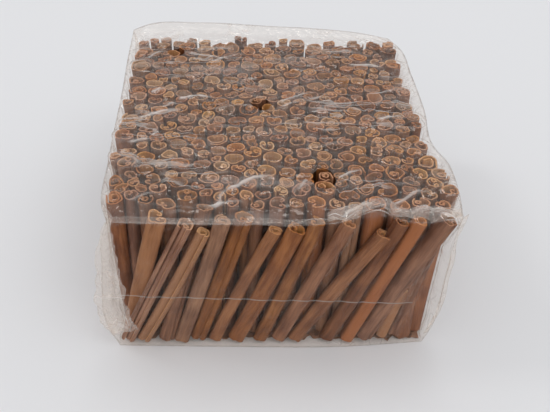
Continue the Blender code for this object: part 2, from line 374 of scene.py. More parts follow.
def bark_line(rng, left, right, step):
    """The cut end of a bark sheet of size 1: from its middle, each side rolls in by its own turn."""
    sides = []
    for turn, tighten in (left, right):
        count = max(1, math.ceil(turn / step))
        wave, phase = rng.uniform(0.02, 0.09), rng.uniform(0.0, 6.28)
        place = np.zeros(2)
        side = [place]
        for index in range(count):
            angle = (index + 0.5) * turn / count
            bend = math.exp(-tighten * angle) * (1.0 + wave * math.sin(2.3 * angle + phase))
            place = place + bend * (turn / count) * np.array([math.cos(angle), math.sin(angle)])
            side.append(place)
        sides.append(np.array(side))
    sides[0][:, 0] *= -1.0
    return np.concatenate([sides[0][:0:-1], sides[1]])


def fitted_line(line, radius, squash, turn, reach):
    """The line drawn into its stick's circle, turned about its axis, then bulged to its neighbours."""
    line = line - (line.max(axis=0) + line.min(axis=0)) / 2.0
    line = line * np.array([1.0, squash])
    line = line * radius / np.linalg.norm(line, axis=1).max()
    turning = np.array([[math.cos(turn), math.sin(turn)], [-math.sin(turn), math.cos(turn)]])
    line = line @ turning
    bulge = np.append(reach, reach[0]) / reach.min()
    angle = np.arctan2(line[:, 1], line[:, 0]) % (2.0 * math.pi)
    dented = DENT * (1.0 + np.sin(2.0 * angle + turn * 5.0))
    dented = dented + SMALL_DENT * (1.0 + np.sin(3.0 * angle + turn * 9.0))
    bulge = np.interp(angle, np.linspace(0.0, 2.0 * math.pi, len(bulge)), bulge) * (1.0 - dented)
    return line * bulge[:, None]


def scroll(rng, kind, radius, wall, step, reach):
    """The bark lines of one stick's end: one sheet, or a sheet with one or two quills inside."""
    room = radius - wall / 2.0
    turn = rng.uniform(0.0, 2.0 * math.pi)

    def both_ways():
        sides = [(math.radians(rng.uniform(260, 560)), rng.uniform(0.22, 0.42)) for side in range(2)]
        return bark_line(rng, *sides, step)

    def one_way(least, most, tighten):
        return bark_line(rng, SHEET_EDGE, (math.radians(rng.uniform(least, most)), tighten), step)

    if kind == "double":
        return [fitted_line(both_ways(), room, rng.uniform(1.0, 1.18), turn, reach)]
    if kind == "single":
        tighten = max(0.055, 1.25 * wall / radius / (2.0 * math.pi)) * rng.uniform(1.0, 1.5)
        return [fitted_line(one_way(480, 900, tighten), room, rng.uniform(0.86, 1.0), turn, reach)]
    lines = [fitted_line(one_way(285, 372, 0.035), room, rng.uniform(0.88, 1.0), turn, reach)]
    if kind == "stuffed":
        lean = rng.uniform(0.0, 6.28)
        for side in (-1.0, 1.0):
            inside = (room - wall) * rng.uniform(0.40, 0.48)
            small = fitted_line(one_way(330, 560, 0.09), inside, rng.uniform(0.8, 1.0),
                                rng.uniform(0.0, 6.28), UNSWOLLEN)
            play = (room - wall - inside) * side
            lines.append(small + play * np.array([math.cos(lean), math.sin(lean)]))
    if kind == "nested":
        inside = (room - wall) * rng.uniform(0.50, 0.74)
        small = fitted_line(one_way(400, 700, 0.08), inside, rng.uniform(0.85, 1.0),
                            rng.uniform(0.0, 6.28), UNSWOLLEN)
        lean = rng.uniform(0.0, 6.28)
        play = room - wall - inside
        lines.append(small + play * 0.8 * np.array([math.cos(lean), math.sin(lean)]))
    return lines


def roll_up(shape, line, low, high, levels, rng, bow, own, tone, warmth):
    """One sheet of bark: its cut end drawn as a chain, then extruded up the stick level by level."""
    layers = {name: shape.verts.layers.float[name] for name in ("across", "along", "own", "tone", "warmth")}
    low, high = Vector(low), Vector(high)
    run = high - low
    stand = Vector((0.0, 0.0, 1.0)).rotation_difference(run).to_matrix().to_4x4()
    place = Matrix.Translation(low) @ stand
    chain = [shape.verts.new((x, y, 0.0)) for x, y in line]
    steps = np.concatenate([[0.0], np.cumsum(np.linalg.norm(np.diff(line, axis=0), axis=1))])
    for corner, across in zip(chain, steps):
        for name, value in (("across", across), ("own", own), ("tone", tone), ("warmth", warmth)):
            corner[layers[name]] = value
    edges = [shape.edges.new(pair) for pair in zip(chain[:-1], chain[1:])]
    made = list(chain)
    tilt = rng.normal(0.0, END_TILT, 4)
    reach = np.abs(line).max()
    twist = rng.normal(0.0, TWIST)
    swell = rng.uniform(-TAPER, TAPER)
    last = 0.0
    rings = [(chain, 0.0)]
    for level in levels[1:]:
        grown = bmesh.ops.extrude_edge_only(shape, edges=edges)["geom"]
        ring = [part for part in grown if isinstance(part, bmesh.types.BMVert)]
        edges = [part for part in grown if isinstance(part, bmesh.types.BMEdge)]
        edges = [edge for edge in edges if all(end in set(ring) for end in edge.verts)]
        size = 1.0 + swell * (level - last)
        grow = Matrix.Translation((0.0, 0.0, (level - last) * run.length))
        grow = grow @ Matrix.Rotation(twist * (level - last), 4, "Z") @ Matrix.Diagonal((size, size, 1, 1))
        bmesh.ops.transform(shape, matrix=grow, verts=ring)
        rings.append((ring, level))
        made += ring
        last = level
    for ring, level in rings:
        for corner in ring:
            x, y = corner.co.x, corner.co.y
            end = (level - 0.5) * 2.0
            cut = (tilt[0] * x + tilt[1] * y) * ease(end * 8 - 7)
            cut += (tilt[2] * x + tilt[3] * y) * ease(-end * 8 - 7)
            if level in (0.0, 1.0):
                inward = 1.0 - math.hypot(x, y) / (reach * 1.2)
                rough = noise.noise(Vector((x * 900.0, y * 900.0, own * 50.0)))
                sunken = 1.6 * max(0.0, inward) * (own % 0.37) / 0.37
                cut += RAGGED * rough - math.copysign(RAGGED, end) * sunken
            corner[layers["along"]] = level * run.length
            corner.co.z += cut
            corner.co.x += bow[0] * 4.0 * level * (1.0 - level)
            corner.co.y += bow[1] * 4.0 * level * (1.0 - level)
    bmesh.ops.transform(shape, matrix=place, verts=made)


def new_piece(name, shape):
    """A piece with its mesh made from a finished shape."""
    mesh = bpy.data.meshes.new(name)
    shape.to_mesh(mesh)
    shape.free()
    piece = bpy.data.objects.new(name, mesh)
    bpy.context.scene.collection.objects.link(piece)
    return piece


def quill_piece(name, members, kinds, walls, step, levels, painted_light_lift, seed):
    """The quills of one kind as one piece, with their walls thickened to both sides of the bark line."""
    shape = bmesh.new()
    for label in ("across", "along", "own", "tone", "warmth"):
        shape.verts.layers.float.new(label)
    for index in members:
        rng = np.random.default_rng(seed * 1000 + int(index))
        kind = kinds[rng.integers(len(kinds))]
        # The lift that a whole group's tone gets is painted light: the front row gets the most, so that it
        # reads as lit from the front.
        own, tone, warmth = rng.uniform(), painted_light_lift + rng.beta(2.0, 2.2), rng.uniform(0.0, 0.7)
        for line in scroll(rng, kind, stick_radius[index], walls, step, stick_reach[index]):
            roll_up(shape, line, stick_low[index], stick_high[index], levels, rng, stick_bow[index],
                    own, tone, warmth)
    shape.normal_update()
    piece = new_piece(name, shape)
    for material in (outer_bark, inner_bark, cut_bark):
        piece.data.materials.append(material)
    wall = piece.modifiers.new("Bark wall", "SOLIDIFY")
    wall.thickness = walls
    wall.offset = 0.0
    wall.material_offset = 1
    wall.material_offset_rim = 2
    bpy.context.view_layer.update()
    solid = bpy.data.meshes.new_from_object(piece.evaluated_get(bpy.context.evaluated_depsgraph_get()))
    piece.modifiers.clear()
    piece.data = solid
    solid.shade_smooth()
    solid.set_sharp_from_angle(angle=math.radians(50.0))
    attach(piece, BODY)
    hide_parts(NODE)


row = len(FRONT_ROW)
behind = np.arange(row, len(top))
front_members = list(range(row)) + list(range(len(top), len(top) + len(BROKEN)))
side_members = behind[outer_stick[row:]]
inner_members = behind[~outer_stick[row:]]
# The front row's tone lift of 0.30 is painted light on the pack's front.
quill_piece("front_quills", front_members, ("double", "double", "single", "nested"), 0.0009,
            math.radians(13.0), (0.0, 0.02, 0.15, 0.3, 0.45, 0.6, 0.75, 0.88, 0.975, 1.0), 0.30, 1)
quill_piece("outer_quills", side_members, ("double", "single", "nested", "double"), 0.0009,
            math.radians(18.0), (0.0, 0.02, 0.3, 0.6, 0.93, 1.0), 0.16, 2)
quill_piece("double_quills", inner_members[::2], ("double",), 0.0008,
            math.radians(20.0), (0.0, 0.5, 0.95, 1.0), 0.20, 3)
quill_piece("rolled_quills", inner_members[1::2],
            ("single", "nested", "stuffed", "nested", "stuffed", "ring"), 0.0008,
            math.radians(20.0), (0.0, 0.5, 0.95, 1.0), 0.20, 4)


# Shade between the quills
# ------------------------
# Deep between the sticks no light comes through. A dark block, painted shade, stands for the depth of the
# pack, well under the cut ends, over a thin layer of bark dust that gathers in the bottom of the bag. Its
# dark brown between the stick feet is partly painted shade.

CORE_INSET = 0.010
CORE_FRONT_INSET = 0.026
CORE_FOOT = 0.0013
CORE_TOP = 0.074
DUST_INSET = 0.003
DUST_FOOT = 0.0007
DUST_TOP = 0.0011
DUST_EDGE_CUTS = 90
DUST_EDGE_BACK = 0.0020      # the dust's uneven front edge: how far back it lies, and how far it wanders
DUST_EDGE_WAVES = 0.0045

core_shape = bmesh.new()
for inset, front_inset, low, high in ((CORE_INSET, CORE_FRONT_INSET, CORE_FOOT, CORE_TOP),
                                      (DUST_INSET, DUST_INSET, DUST_FOOT, DUST_TOP)):
    front, back = PACK_FRONT + front_inset, PACK_BACK - inset
    block = bmesh.ops.create_cube(core_shape, size=1.0)["verts"]
    bmesh.ops.scale(core_shape, vec=(2.0 * (PACK_SIDE - inset), back - front, high - low), verts=block)
    bmesh.ops.translate(core_shape, vec=(0.0, (front + back) / 2.0, (low + high) / 2.0), verts=block)
dust_front = [corner for corner in core_shape.verts if corner.co.z < CORE_FOOT - 1e-5 and corner.co.y < 0.0]
dust_edges = [edge for edge in core_shape.edges
              if edge.calc_length() > PACK_SIDE and all(end in dust_front for end in edge.verts)]
bmesh.ops.subdivide_edges(core_shape, edges=dust_edges, cuts=DUST_EDGE_CUTS)
for corner in core_shape.verts:
    if corner.co.z < CORE_FOOT - 1e-5 and corner.co.y < 0.0:
        wander = noise.noise(Vector((corner.co.x * 260.0, 4.0, 0.0)))
        corner.co.y += DUST_EDGE_BACK + DUST_EDGE_WAVES * wander
core = new_piece("pack_core", core_shape)
# One finish for both: on the block it is painted shade, on the bottom layer bark dust that also darkens the
# floor between the feet as painted shade.
shade_and_dust = bpy.data.materials.new("shade_and_dust")
shade_and_dust.use_nodes = True
shade_and_dust_shader = shade_and_dust.node_tree.nodes["Principled BSDF"]
shade_and_dust_shader.inputs["Roughness"].default_value = 0.9
shade_and_dust_node = node_adder(shade_and_dust)
shade_and_dust_place = shade_and_dust_node("ShaderNodeTexCoord")["Object"]
shade_and_crumb_cells = shade_and_dust_node("ShaderNodeTexVoronoi", (("Vector", shade_and_dust_place), ("Scale", 420.0)))["Color"]
shade_and_crumb_tones = tone_ramp(shade_and_dust_node, shade_and_crumb_cells, (0.0, (0.060, 0.028, 0.016)), (1.0, (0.360, 0.185, 0.105)))
shade_and_dust.node_tree.links.new(shade_and_crumb_tones, shade_and_dust_shader.inputs["Base Color"])
core.data.materials.append(shade_and_dust)
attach(core, BODY)


# Clear film bag
# --------------
# A bag of thin clear film, pulled tight from side to side over the stick ends and slack the other way,
# so that it buckles into fine ridges. It is creased along the block's edges and hangs loose at the corners.

FILM_STEPS = ((150, 160, 70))     # grid steps across, along and up
BACK_CLEAR = 0.0009          # how close the film's middle lies to a stick's back
END_CLEAR = 0.0014           # and to its cut end, which stands a little askew
BUCKLING_ROUNDS = 160
STRETCH_HOLD = 0.9
SMOOTHING = 0.06
FIRST_LOFT = 0.0008          # how far the sheet stands off before it settles
FIRST_WAVES = 0.0020         # and how deep its first waves are
NEAR_RODS = 8
CRUMPLE_SIZE = 0.009
TOP_REST = 0.0972            # the film over the stick ends, away from its creases
CREASE_FALL = 0.014          # how far in the film has come down from a raised crease

# The bag's creases as runs of places: across, along and up, in millimetres
TOP_FRONT = ((-87, -105, 96), (-60, -106, 96), (-20, -106, 96), (20, -106, 96.5), (36, -104, 98),
             (50, -99, 101), (62, -103, 97), (80, -104, 97), (93, -103, 99.5))
TOP_BACK = ((-97, 104, 100), (-88, 106, 103), (-50, 106.5, 105.5), (0, 106, 104), (30, 106, 103),
            (70, 105.5, 99.5), (86, 104, 97))
TOP_LEFT = ((-87, -105, 96), (-91.5, -91, 95), (-93.8, -51, 95), (-95.7, 26, 95.5), (-97.4, 80, 97),
            (-97, 104, 100))
TOP_RIGHT = ((93, -103, 99.5), (97, -75, 97), (97, -50, 96), (92.6, -32, 95), (94.5, 7, 95.5),
             (94, 52, 96), (92, 90, 96.5), (86, 104, 97))
FRONT_LEFT = ((-89, -102, 0.6), (-91, -103, 7.5), (-94, -103, 16.5), (-96, -102, 27),
              (-95.5, -101, 42), (-93.5, -101, 62), (-91, -103, 85), (-87, -105, 96))
FRONT_RIGHT = ((88, -99, 0.6), (92.5, -98, 13), (94.2, -97, 27), (94, -97, 42), (94, -97, 54),
               (94, -98, 64), (92, -100, 74), (92, -102, 86), (93, -103, 99.5))
BACK_LEFT = ((-90, 103, 0.6), (-93.5, 104.5, 30), (-96, 105, 60), (-97, 104, 100))
BACK_RIGHT = ((88, 103, 0.6), (91, 104.5, 30), (93, 105, 60), (86, 104, 97))
FOOT_FRONT = ((-89, -102, 0.6), (-30, -103, 0.5), (40, -103, 0.5), (88, -99, 0.6))
FOOT_BACK = ((-90, 103, 0.6), (0, 103.5, 0.5), (88, 103, 0.6))
FOOT_LEFT = ((-89, -102, 0.6), (-90.5, 0, 0.5), (-90, 103, 0.6))
FOOT_RIGHT = ((88, -99, 0.6), (90.5, 0, 0.5), (88, 103, 0.6))

# Pulled ridges on the top, many of them from a vent: start and end in millimetres, then height and width
RIDGES = (
    (-1, 9, 34, 29, 1.0, 1.2), (0, 5, 26, 15, 0.9, 1.1), (-15, 7, -52, 1, 0.7, 1.5),
    (31, -66, 52, -58, 1.1, 1.3), (30, -71, 46, -68, 0.8, 1.1), (18, -69, 3, -85, 0.9, 1.4),
    (19, -62, -12, -52, 0.6, 1.2), (-59, 76, -26, 66, 1.1, 1.6), (-72, 76, -94, 62, 1.0, 1.5),
    (-58, 82, -10, 81, 0.8, 1.2), (-62, 15, -32, 18, 1.3, 2.0), (-86, -11, -50, 5, 1.1, 1.8),
    (50, 63, 84, 58, 1.2, 1.8), (60, -7, 84, -3, 1.1, 1.8), (-46, 62, -10, 80, 0.8, 1.3),
    (-42, -94, -8, -86, 0.9, 1.4), (30, -96, 60, -88, 1.1, 1.6), (55, -92, 90, -72, 1.0, 1.5),
    (-84, -60, -40, -52, 0.8, 1.4), (10, -40, 66, -30, 0.7, 1.3), (-70, 40, -12, 48, 0.8, 1.3),
    (6, 60, 58, 44, 0.7, 1.3), (-30, -30, 16, -22, 0.6, 1.3), (-80, -88, -58, -80, 0.8, 1.3),
    (-78, 22, -66, 24, 1.1, 1.8), (-70, 4, -56, 10, 1.0, 1.5), (-20, 8, -2, 2, 0.8, 1.1),
    (-30, -78, 6, -62, 1.1, 2.0), (-36, -98, -22, -70, 0.9, 1.7), (60, 24, 90, 30, 0.9, 1.5),
    (34, 84, 70, 78, 1.0, 1.6), (-5, 88, 40, 92, 0.8, 1.4), (-86, -36, -66, -30, 1.0, 1.6),
)


def along_run(run, share):
    """Places at the given shares, 0 to 1, of a run's length, on a smooth curve through its points."""
    points = np.array(run, dtype=float) / 1000.0
    marks = np.concatenate([[0.0], np.cumsum(np.linalg.norm(np.diff(points, axis=0), axis=1))])
    marks /= marks[-1]
    slopes = np.gradient(points, marks, axis=0)
    at = np.clip(np.searchsorted(marks, share, side="right") - 1, 0, len(marks) - 2)
    span = marks[at + 1] - marks[at]
    part = ((share - marks[at]) / span)[:, None]
    span = span[:, None]
    eased = part ** 2 * (3.0 - 2.0 * part)
    bend = span * (part * (1.0 - part) ** 2 * slopes[at] - part ** 2 * (1.0 - part) * slopes[at + 1])
    return points[at] * (1.0 - eased) + points[at + 1] * eased + bend


def face_sheet(first, last, start, end, count_u, count_v):
    """A sheet stretched between four creases: first and last run along u, start and end along v."""
    u = np.linspace(0.0, 1.0, count_u)
    v = np.linspace(0.0, 1.0, count_v)
    low, high = along_run(first, u)[:, None], along_run(last, u)[:, None]
    near, far = along_run(start, v)[None], along_run(end, v)[None]
    u, v = u[:, None, None], v[None, :, None]
    corners = ((1 - u) * (1 - v) * low[0, 0] + u * (1 - v) * low[-1, 0]
               + (1 - u) * v * high[0, 0] + u * v * high[-1, 0])
    return low * (1 - v) + high * v + near * (1 - u) + far * u - corners


run = stick_high - stick_low
rod_length = np.linalg.norm(run, axis=1)
heading = run / rod_length[:, None]


def rod_gap(points, rods):
    """Where points lie beside rods: distance along each, way out from its axis, and distance from it."""
    from_low = points[:, None] - stick_low[rods]
    along = (from_low * heading[rods]).sum(axis=2)
    held = np.clip(along, 0.0, rod_length[rods])
    away = from_low - held[..., None] * heading[rods]
    part = held / rod_length[rods]
    away[..., :2] -= stick_bow[rods] * (4.0 * part * (1.0 - part))[..., None]
    return along, away, np.sqrt((away ** 2).sum(axis=2) + 1e-14)


def nearest_rods(points, count):
    """The rods nearest to each point."""
    near = np.zeros((len(points), count), dtype=int)
    every = np.arange(len(rod_length))
    for start in range(0, len(points), 3000):
        some = points[start:start + 3000]
        far = rod_gap(some, np.broadcast_to(every, (len(some), len(every))))[2]
        near[start:start + 3000] = np.argpartition(far - stick_radius, count, axis=1)[:, :count]
    return near


def kept_outside(points, near):
    """The points, moved out of the sticks: up over an end, or out from a back."""
    along, away, far = rod_gap(points, near)
    sink_side = stick_radius[near] + BACK_CLEAR - far
    sink_top = rod_length[near] + END_CLEAR - along
    inside = (sink_side > 0.0) & (sink_top > 0.0)
    over_end = inside & (sink_top < sink_side)
    off_back = inside & ~over_end
    push = heading[near] * np.where(over_end, sink_top, 0.0)[..., None]
    push += away * np.where(off_back, sink_side / far, 0.0)[..., None]
    strongest = np.argmax((push ** 2).sum(axis=2), axis=1)
    return points + push[np.arange(len(points)), strongest]


def crumple(points, size, stretch):
    """Shallow facets between sharp creases, 0 to 1, as film shows where it was once crushed."""
    height = np.zeros(len(points))
    for index, point in enumerate(points * np.array(stretch) / size):
        near = noise.voronoi(Vector(point))[0]
        height[index] = near[1] - near[0]
    return height


def buckled(sheet, outward, slack_u, slack_v, seed_waves, cling):
    """A sheet held at its four creases, longer than its place one way, so that it folds as it settles."""
    count_u, count_v = sheet.shape[:2]
    outward = np.array(outward)
    u, v = np.meshgrid(np.arange(count_u), np.arange(count_v), indexing="ij")
    edge = np.minimum.reduce([u, v, count_u - 1 - u, count_v - 1 - v])
    free = ease(edge / 5.0)[..., None] * (edge > 0)[..., None]
    seeded = np.array([noise.noise(Vector(np.array(point) * seed_waves)) for point in sheet.reshape(-1, 3)])
    rest_u = np.linalg.norm(sheet[1:] - sheet[:-1], axis=2) * slack_u
    rest_v = np.linalg.norm(sheet[:, 1:] - sheet[:, :-1], axis=2) * slack_v
    rest_d = np.sqrt(((rest_u[:, 1:] + rest_u[:, :-1]) / 2) ** 2 + ((rest_v[1:] + rest_v[:-1]) / 2) ** 2)
    sheet = sheet + (FIRST_LOFT + FIRST_WAVES * seeded.reshape(count_u, count_v, 1)) * outward * free
    near = nearest_rods(sheet.reshape(-1, 3), NEAR_RODS)
    threads = ((np.s_[:-1, :], np.s_[1:, :], rest_u), (np.s_[:, :-1], np.s_[:, 1:], rest_v),
               (np.s_[:-1, :-1], np.s_[1:, 1:], rest_d), (np.s_[1:, :-1], np.s_[:-1, 1:], rest_d))
    for turn in range(BUCKLING_ROUNDS):
        shift = np.zeros_like(sheet)
        for lower, upper, rest in threads:
            way = sheet[upper] - sheet[lower]
            length = np.sqrt((way ** 2).sum(axis=2))
            pull = way * (STRETCH_HOLD * (1.0 - rest / length))[..., None]
            shift[lower] += pull
            shift[upper] -= pull
        shift /= 4.0
        beside = sheet[2:, 1:-1] + sheet[:-2, 1:-1] + sheet[1:-1, 2:] + sheet[1:-1, :-2]
        shift[1:-1, 1:-1] += SMOOTHING * (-sheet[1:-1, 1:-1] + beside / 4)
        sheet = sheet + (shift - cling * outward) * (edge > 0)[..., None]
        if turn % 2 == 1 or turn == BUCKLING_ROUNDS - 1:
            held = kept_outside(sheet.reshape(-1, 3), near).reshape(sheet.shape)
            sheet = np.where((edge > 0)[..., None], held, sheet)
    return sheet, free[..., 0]


def top_at_rest(sheet):
    """The top sheet lies on the stick ends, and rises only close to its raised creases."""
    crease_in = np.minimum.reduce([sheet[..., 1] - sheet[:, :1, 1], sheet[:, -1:, 1] - sheet[..., 1],
                                   sheet[..., 0] - sheet[:1, :, 0], sheet[-1:, :, 0] - sheet[..., 0]])
    settled = ease(crease_in / CREASE_FALL)
    sheet[..., 2] += (TOP_REST - sheet[..., 2]) * settled
    return sheet


def ridge_height(points):
    """How high the pulled ridges stand at each point of the top."""
    height = np.zeros(len(points))
    for x0, y0, x1, y1, rise, width in RIDGES:
        start, end = np.array([x0, y0]) / 1000.0, np.array([x1, y1]) / 1000.0
        way = (end - start) / np.linalg.norm(end - start)
        along = (points[:, :2] - start) @ way / np.linalg.norm(end - start)
        aside = (points[:, :2] - start) @ np.array([-way[1], way[0]]) * 1000.0 / width
        aside += 0.7 * np.sin(along * 9.0)
        height += rise / 1000.0 * np.exp(-aside ** 2) * ease(along * 6.0) * ease((1.0 - along) * 2.0)
    return height


def film_box(steps):
    """A closed box of film, its faces divided into the given steps across, along and up."""
    shape = bmesh.new()
    bmesh.ops.create_cube(shape, size=2.0)
    for axis, count in enumerate(steps):
        along_axis = [edge for edge in shape.edges
                      if abs(edge.verts[0].co[axis] - edge.verts[1].co[axis]) > 1e-6]
        bmesh.ops.subdivide_edges(shape, edges=along_axis, cuts=count - 1, use_grid_fill=True)
    return shape


film_shape = film_box(FILM_STEPS)
cells = np.array([(corner.co + Vector((1.0, 1.0, 1.0))) / 2.0 for corner in film_shape.verts])
cells = np.rint(cells * FILM_STEPS).astype(int)
corner_at = np.full(np.array(FILM_STEPS) + 1, -1)
corner_at[tuple(cells.T)] = np.arange(len(cells))
place = np.zeros((len(cells), 3))
shine = np.zeros(len(cells))
front_only = np.zeros(len(cells))
front_only[corner_at[:, 0]] = 1.0

# Each face of the bag: its corners, its creases, the way it looks, its slack both ways, the waves that
# its folds start from, how hard it clings, how deep and how large its crumples are, and its shine
for name, members, creases, outward, slack, waves, cling, dent, facet, gleam in (
        ("foot", corner_at[:, :, 0], (FOOT_FRONT, FOOT_BACK, FOOT_LEFT, FOOT_RIGHT), (0, 0, -1),
         None, None, 0, 0, None, 0.5),
        ("back", corner_at[:, -1], (FOOT_BACK, TOP_BACK, BACK_LEFT, BACK_RIGHT), (0, 1, 0),
         (1.03, 1.005), (110, 1, 30), 4e-5, 0.0010, (1.0, 1.0, 0.5), 1.0),
        ("left", corner_at[0], (FOOT_LEFT, TOP_LEFT, FRONT_LEFT, BACK_LEFT), (-1, 0, 0),
         (1.04, 1.01), (1, 110, 30), 4e-5, 0.0012, (1.0, 1.0, 0.5), 1.0),
        ("right", corner_at[-1], (FOOT_RIGHT, TOP_RIGHT, FRONT_RIGHT, BACK_RIGHT), (1, 0, 0),
         (1.04, 1.01), (1, 110, 30), 4e-5, 0.0012, (1.0, 1.0, 0.5), 1.0),
        ("front", corner_at[:, 0], (FOOT_FRONT, TOP_FRONT, FRONT_LEFT, FRONT_RIGHT), (0, -1, 0),
         (1.006, 1.002), (70, 1, 20), 3e-5, 0.0003, (0.7, 1.0, 0.7), 0.42),
        ("top", corner_at[:, :, -1], (TOP_FRONT, TOP_BACK, TOP_LEFT, TOP_RIGHT), (0, 0, 1),
         (1.002, 1.03), (20, 120, 1), 1e-5, 0.0006, (0.45, 1.0, 1.0), 1.15)):
    sheet = face_sheet(*creases, *members.shape)
    if name == "top":
        sheet = top_at_rest(sheet)
    if slack:
        sheet, free = buckled(sheet, outward, *slack, waves, cling)
        raised = dent * crumple(sheet.reshape(-1, 3), CRUMPLE_SIZE, facet)
        if name == "top":
            raised += ridge_height(sheet.reshape(-1, 3))
        sheet += (raised.reshape(members.shape) * free)[..., None] * np.array(outward)
    place[members] = sheet
    shine[members] = np.maximum(shine[members], gleam)
for corner, point in zip(film_shape.verts, place):
    corner.co = point

# The film scatters more light where it is sharply creased. Along its pulled ridges the strong white is
# painted highlight, standing for the light's glints on their flanks, over some real whitening of the
# stretched film. The front, drawn flat by the leaning sticks, is the clearest part.
CLEAR_HAZE = 0.005
CREASE_HAZE = 0.10
SHARP_CREASE = 0.00030
RIDGE_PAINTED_GLINT = 0.80
WHITE_RIDGE = 0.0011
SIDE_TOP = 0.09

ends = np.array([[end.index for end in edge.verts] for edge in film_shape.edges])
count = np.bincount(ends.ravel(), minlength=len(place))
around = np.zeros_like(place)
for one, other in ((0, 1), (1, 0)):
    np.add.at(around, ends[:, one], place[ends[:, other]])
sharp = np.linalg.norm(around / count[:, None] - place, axis=1)
ridged = np.clip(ridge_height(place) / WHITE_RIDGE, 0.0, 1.0) ** 3
front_only *= ease((0.0965 - place[:, 2]) / 0.004)
haze_and_painted_glints = CLEAR_HAZE + np.clip(sharp / SHARP_CREASE - 0.35, 0.0, 1.0) * CREASE_HAZE
# Painted highlight: white along the crests of the pulled ridges.
haze_and_painted_glints += RIDGE_PAINTED_GLINT * ridged * ease((place[:, 2] - SIDE_TOP) / 0.003)
haze_and_painted_glints *= 1.0 - 0.85 * front_only
# How strongly the material's painted highlight streaks show: little on the front, half low on the sides,
# full high up and on the top.
painted_streaks = (1.0 - 0.92 * front_only) * (0.5 + 0.5 * ease((place[:, 2] - SIDE_TOP) / 0.005))
shine *= 1.0 - 0.9 * front_only * ease((place[:, 2] - 0.045) / 0.040)
for label, values in (("haze_and_painted_glints", haze_and_painted_glints), ("shine", shine), ("painted_streaks", painted_streaks)):
    layer = film_shape.verts.layers.float.new(label)
    for corner, value in zip(film_shape.verts, values):
        corner[layer] = value

# Three vents are punched through the top, so that the pack can breathe: middle, half width, half length
VENTS = ((-0.0654, 0.0775, 0.0060, 0.0056), (-0.0080, 0.0088, 0.0062, 0.0064),
         (0.0246, -0.0685, 0.0066, 0.0098))
for across, along, half_width, half_length in VENTS:
    vent, stretch = Vector((across, along)), Vector((1.0 / half_width, 1.0 / half_length))
    gone = [face for face in film_shape.faces if face.calc_center_median().z > 0.06
            and ((face.calc_center_median().xy - vent) * stretch).length < 1.0]
    bmesh.ops.delete(film_shape, geom=gone, context="FACES")
    for corner in film_shape.verts:
        way = (corner.co.xy - vent) * stretch
        if corner.is_boundary and way.length < 1.5:
            way.normalize()
            corner.co.xy = vent + Vector((way.x * half_width, way.y * half_length))

clear_film = bpy.data.materials.new("clear_film")
clear_film.use_nodes = True
clear_film.node_tree.nodes.clear()
film_node = node_adder(clear_film)
film_math = math_adder(film_node)


def film_range(value, low, high, to_low, to_high):
    return film_node("ShaderNodeMapRange", tuple(enumerate((value, low, high, to_low, to_high))))[0]


def film_noise(place, scale, detail):
    return film_node("ShaderNodeTexNoise", (("Vector", place), ("Scale", scale), ("Detail", detail)))


def film_cracks(place, scale):
    return film_node("ShaderNodeTexVoronoi", (("Vector", place), ("Scale", scale)),
                     feature="DISTANCE_TO_EDGE")["Distance"]


def film_bump(height, distance, strength, *under):
    normals = [("Normal", normal) for normal in under]
    return film_node("ShaderNodeBump", [("Height", height), ("Distance", distance), ("Strength", strength)]
                     + normals)["Normal"]


# Small unevenness, then small facets, then long folds across the top
film_place = film_node("ShaderNodeTexCoord")["Object"]
drift = film_noise(film_place, 60.0, 2.0)["Color"]
drifted = film_node("ShaderNodeMix", ((0, 0.012), (4, film_place), (5, drift)), data_type="VECTOR")[1]
pulled = film_node("ShaderNodeMapping", (("Vector", drifted), ("Scale", (42.0, 115.0, 115.0))))[0]
film_normal = film_bump(film_noise(film_place, 260.0, 3.0)["Fac"], 0.0005, 0.5)
film_normal = film_bump(film_cracks(drifted, 150.0), 0.0007, 0.5, film_normal)
film_normal = film_bump(film_cracks(pulled, 1.0), 0.0020, 0.8, film_normal)

# The film mirrors most where it is seen edge on
edge_on = film_node("ShaderNodeLayerWeight", (("Blend", 0.5), ("Normal", film_normal)))["Facing"]
steep = film_math("POWER", edge_on, 4.0)
gleam = film_node("ShaderNodeAttribute", attribute_name="shine")["Fac"]
mirror = film_math("MULTIPLY", film_math("MULTIPLY_ADD", steep, 0.45, 0.055), gleam, clamp=True)

# Fine white lines and broad smears follow the pull: across the top, up and down the sides. They are painted
# highlights, standing for the light's glints on the film's folds.
SIDE_LIMIT = 0.0945
axes = film_node("ShaderNodeSeparateXYZ", ((0, film_place),))
on_side = film_math("LESS_THAN", axes[2], SIDE_LIMIT)
fold_way = film_node("ShaderNodeMix", ((0, on_side), (4, (8.0, 75.0, 22.0)), (5, (95.0, 95.0, 9.0))),
                     data_type="VECTOR")[1]
flow_place = film_node("ShaderNodeMapping", (("Vector", drifted), ("Rotation", (0.0, 0.0, -0.30)),
                                             ("Scale", fold_way)))[0]
flow = film_noise(flow_place, 1.0, 2.0)["Fac"]
beside_line = film_math("ABSOLUTE", film_math("SUBTRACT", flow, 0.5))
thin_line = film_range(beside_line, 0.0, 0.022, 0.48, 0.0)
patch = film_range(film_noise(film_place, 26.0, 1.0)["Fac"], 0.46, 0.60, 0.0, 1.0)
smear = film_range(flow, 0.57, 0.74, 0.0, 0.24)
white = film_math("ADD", film_math("MULTIPLY", thin_line, patch), smear)
painted_streaks = film_node("ShaderNodeAttribute", attribute_name="painted_streaks")["Fac"]
cloudy = film_node("ShaderNodeAttribute", attribute_name="haze_and_painted_glints")["Fac"]
# Painted highlights: the white lines and smears are added to the haze, as strongly as each place's streak
# amount asks.
cloudy = film_math("MULTIPLY_ADD", white, painted_streaks, cloudy)
cloudy = film_math("MULTIPLY_ADD", steep, 0.25, cloudy)

